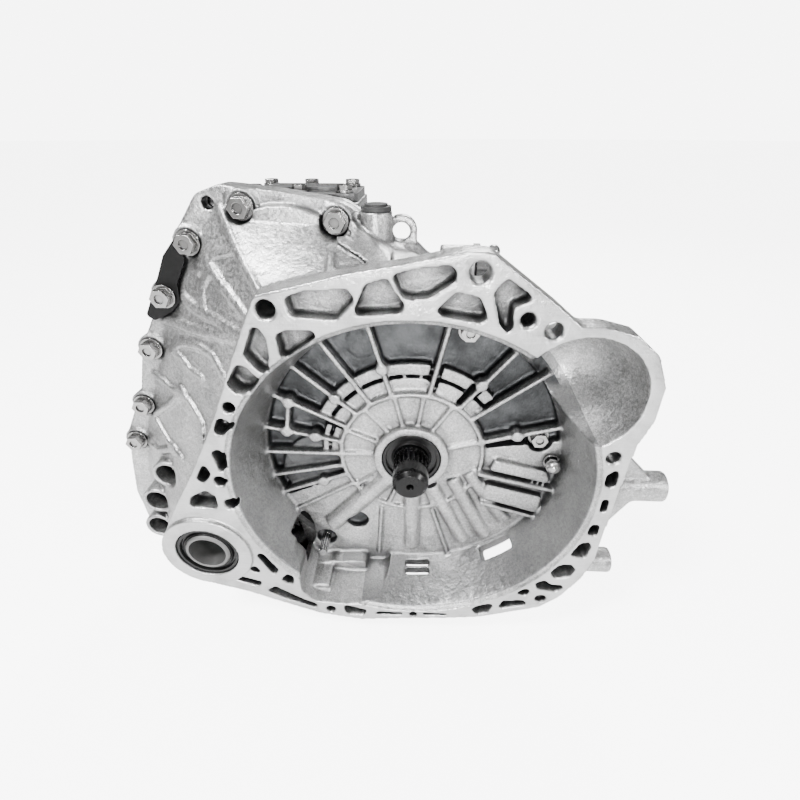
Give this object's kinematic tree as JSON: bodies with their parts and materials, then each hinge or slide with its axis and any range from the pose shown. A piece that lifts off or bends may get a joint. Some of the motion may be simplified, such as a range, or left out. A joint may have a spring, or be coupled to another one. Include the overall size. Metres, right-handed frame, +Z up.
{
  "type": "manual transmission",
  "caption": "Transverse manual transmission with a ribbed bell housing, starter pocket, geared shafts, selector, differential and output seals.",
  "frame": {"origin": "input shaft axis in the plane of the bell housing's engine face", "axes": "+X to the right seen from the engine, +Y along the input shaft into the gearbox, +Z up"},
  "size_m": [0.4799, 0.345, 0.4003],
  "materials": {
    "cast": "sand-blasted cast with machined faces",
    "case": "as cast",
    "cover": "as cast, darker",
    "bolt_zinc": "zinc plated",
    "black_steel": "black, slightly glossy",
    "seal_rubber": "satin",
    "plastic": "matte",
    "steel": "machined",
    "iron": "as cast with machined ends"
  },
  "bodies": {
    "housing": {"clutch_housing": "cast", "gear_case": "case", "end_cover": "case", "shift_cover": "cover", "joint_bolts": "bolt_zinc", "bell_bolts": "bolt_zinc", "side_bolts": "bolt_zinc", "end_cover_bolts": "bolt_zinc", "shift_cover_bolts": "bolt_zinc", "support_bracket": "black_steel", "bracket_bolt": "bolt_zinc", "joint_dowels": "bolt_zinc", "input_seal": "seal_rubber", "diff_seal_front": "seal_rubber", "diff_seal_rear": "seal_rubber", "oil_plugs": "bolt_zinc", "breather_cap": "plastic", "reverse_switch": "plastic", "pivot_stud": "bolt_zinc", "idler_shaft": "steel", "input_bearing_outer_races": "steel", "output_bearing_outer_races": "steel", "diff_bearing_outer_races": "steel"},
    "input_rotor": {"input_shaft": "black_steel", "input_bearing_balls": "steel", "hub_3_4": "steel", "gear_5_drive": "steel"},
    "output_rotor": {"output_shaft": "steel", "output_bearing_balls": "steel", "gear_3_driven": "steel", "gear_4_driven": "steel", "hub_1_2": "steel", "hub_5_r": "steel"},
    "differential": {"diff_case": "iron", "ring_gear": "steel", "ring_gear_bolts": "steel", "cross_pin": "steel", "diff_bearing_balls": "steel"},
    "selector": {"selector_shaft": "steel", "shift_lever": "steel"},
    "gear_1_driven_body": {"gear_1_driven": "steel"},
    "gear_2_driven_body": {"gear_2_driven": "steel"},
    "gear_3_drive_body": {"gear_3_drive": "steel"},
    "gear_4_drive_body": {"gear_4_drive": "steel"},
    "gear_5_driven_body": {"gear_5_driven": "steel"},
    "gear_reverse_driven_body": {"gear_reverse_driven": "steel"},
    "reverse_idler_body": {"reverse_idler": "steel"},
    "side_gear_front_body": {"side_gear_front": "steel"},
    "side_gear_rear_body": {"side_gear_rear": "steel"},
    "spider_upper_body": {"spider_upper": "steel"},
    "spider_lower_body": {"spider_lower": "steel"},
    "sleeve_1_2_body": {"sleeve_1_2": "steel"},
    "sleeve_3_4_body": {"sleeve_3_4": "steel"},
    "sleeve_5_r_body": {"sleeve_5_r": "steel"},
    "fork_1_2_body": {"fork_1_2": "steel"},
    "fork_3_4_body": {"fork_3_4": "steel"},
    "fork_5_r_body": {"fork_5_r": "steel"},
    "selector_finger_body": {"selector_finger": "steel"},
    "cross_shaft_body": {"cross_shaft": "steel"}
  },
  "joints": [
    {"name": "input_spin", "type": "hinge", "parent": "housing", "child": "input_rotor", "pos_m": [0, 0.1, 0], "axis": [0, 1, 0], "continuous": true},
    {"name": "diff_spin", "type": "hinge", "parent": "housing", "child": "differential", "pos_m": [-0.179, 0.1, -0.072], "axis": [0, 1, 0], "continuous": true},
    {"name": "output_spin", "type": "hinge", "parent": "housing", "child": "output_rotor", "pos_m": [-0.08031, 0.1, -0.02464], "axis": [0, 1, 0], "continuous": true},
    {"name": "gear_1_spin", "type": "hinge", "parent": "housing", "child": "gear_1_driven_body", "pos_m": [-0.08031, 0.135, -0.02464], "axis": [0, 1, 0], "continuous": true},
    {"name": "gear_2_spin", "type": "hinge", "parent": "housing", "child": "gear_2_driven_body", "pos_m": [-0.08031, 0.175, -0.02464], "axis": [0, 1, 0], "continuous": true},
    {"name": "gear_3_spin", "type": "hinge", "parent": "housing", "child": "gear_3_drive_body", "pos_m": [0, 0.193, 0], "axis": [0, 1, 0], "continuous": true},
    {"name": "gear_4_spin", "type": "hinge", "parent": "housing", "child": "gear_4_drive_body", "pos_m": [0, 0.233, 0], "axis": [0, 1, 0], "continuous": true},
    {"name": "gear_5_spin", "type": "hinge", "parent": "housing", "child": "gear_5_driven_body", "pos_m": [-0.08031, 0.274, -0.02464], "axis": [0, 1, 0], "continuous": true},
    {"name": "gear_reverse_spin", "type": "hinge", "parent": "housing", "child": "gear_reverse_driven_body", "pos_m": [-0.08031, 0.313, -0.02464], "axis": [0, 1, 0], "continuous": true},
    {"name": "reverse_idler_spin", "type": "hinge", "parent": "housing", "child": "reverse_idler_body", "pos_m": [-0.00003, 0.313, -0.04532], "axis": [0, 1, 0], "continuous": true},
    {"name": "side_gear_front_spin", "type": "hinge", "parent": "differential", "child": "side_gear_front_body", "pos_m": [-0.179, 0.12, -0.072], "axis": [0, 1, 0], "continuous": true},
    {"name": "side_gear_rear_spin", "type": "hinge", "parent": "differential", "child": "side_gear_rear_body", "pos_m": [-0.179, 0.12, -0.072], "axis": [0, 1, 0], "continuous": true},
    {"name": "spider_upper_spin", "type": "hinge", "parent": "differential", "child": "spider_upper_body", "pos_m": [-0.179, 0.12, -0.072], "axis": [0, 0, 1], "continuous": true},
    {"name": "spider_lower_spin", "type": "hinge", "parent": "differential", "child": "spider_lower_body", "pos_m": [-0.179, 0.12, -0.072], "axis": [0, 0, 1], "continuous": true},
    {"name": "cross_shaft_spin", "type": "hinge", "parent": "housing", "child": "cross_shaft_body", "pos_m": [-0.086, 0.05, -0.11], "axis": [0, 1, 0], "continuous": true},
    {"name": "fork_1_2_slide", "type": "slide", "parent": "housing", "child": "fork_1_2_body", "axis": [0, 1, 0], "range_m": [-0.006, 0.006]},
    {"name": "fork_3_4_slide", "type": "slide", "parent": "housing", "child": "fork_3_4_body", "axis": [0, 1, 0], "range_m": [-0.006, 0.006]},
    {"name": "fork_5_r_slide", "type": "slide", "parent": "housing", "child": "fork_5_r_body", "axis": [0, 1, 0], "range_m": [-0.006, 0.006]},
    {"name": "sleeve_1_2_slide", "type": "slide", "parent": "output_rotor", "child": "sleeve_1_2_body", "axis": [0, 1, 0], "range_m": [-0.006, 0.006]},
    {"name": "sleeve_3_4_slide", "type": "slide", "parent": "input_rotor", "child": "sleeve_3_4_body", "axis": [0, 1, 0], "range_m": [-0.006, 0.006]},
    {"name": "sleeve_5_r_slide", "type": "slide", "parent": "output_rotor", "child": "sleeve_5_r_body", "axis": [0, 1, 0], "range_m": [-0.006, 0.006]},
    {"name": "selector_turn", "type": "hinge", "parent": "housing", "child": "selector", "pos_m": [-0.06, 0.118, 0.152], "axis": [1, 0, 0], "range_deg": [-10.5, 10.5]},
    {"name": "selector_finger_slide", "type": "slide", "parent": "selector", "child": "selector_finger_body", "axis": [1, 0, 0], "range_m": [-0.026, 0.026]}
  ],
  "couplings": [
    {"joint": "output_spin", "follows": "diff_spin", "ratio": -3.1},
    {"joint": "gear_3_spin", "follows": "diff_spin", "ratio": 3.8294},
    {"joint": "gear_4_spin", "follows": "diff_spin", "ratio": 2.6463},
    {"joint": "gear_1_spin", "follows": "input_spin", "ratio": -0.28814},
    {"joint": "gear_2_spin", "follows": "input_spin", "ratio": -0.52},
    {"joint": "gear_5_spin", "follows": "input_spin", "ratio": -1.5333},
    {"joint": "reverse_idler_spin", "follows": "input_spin", "ratio": -0.70833},
    {"joint": "gear_reverse_spin", "follows": "input_spin", "ratio": 0.33333},
    {"joint": "side_gear_rear_spin", "follows": "side_gear_front_spin", "ratio": -1},
    {"joint": "spider_upper_spin", "follows": "side_gear_front_spin", "ratio": 1.6},
    {"joint": "spider_lower_spin", "follows": "side_gear_front_spin", "ratio": -1.6},
    {"joint": "sleeve_1_2_slide", "follows": "fork_1_2_slide", "ratio": 1},
    {"joint": "sleeve_5_r_slide", "follows": "fork_5_r_slide", "ratio": 1},
    {"joint": "fork_3_4_slide", "follows": "selector_turn", "m_per_rad": 0.0327},
    {"joint": "sleeve_3_4_slide", "follows": "selector_turn", "m_per_rad": 0.0327}
  ]
}
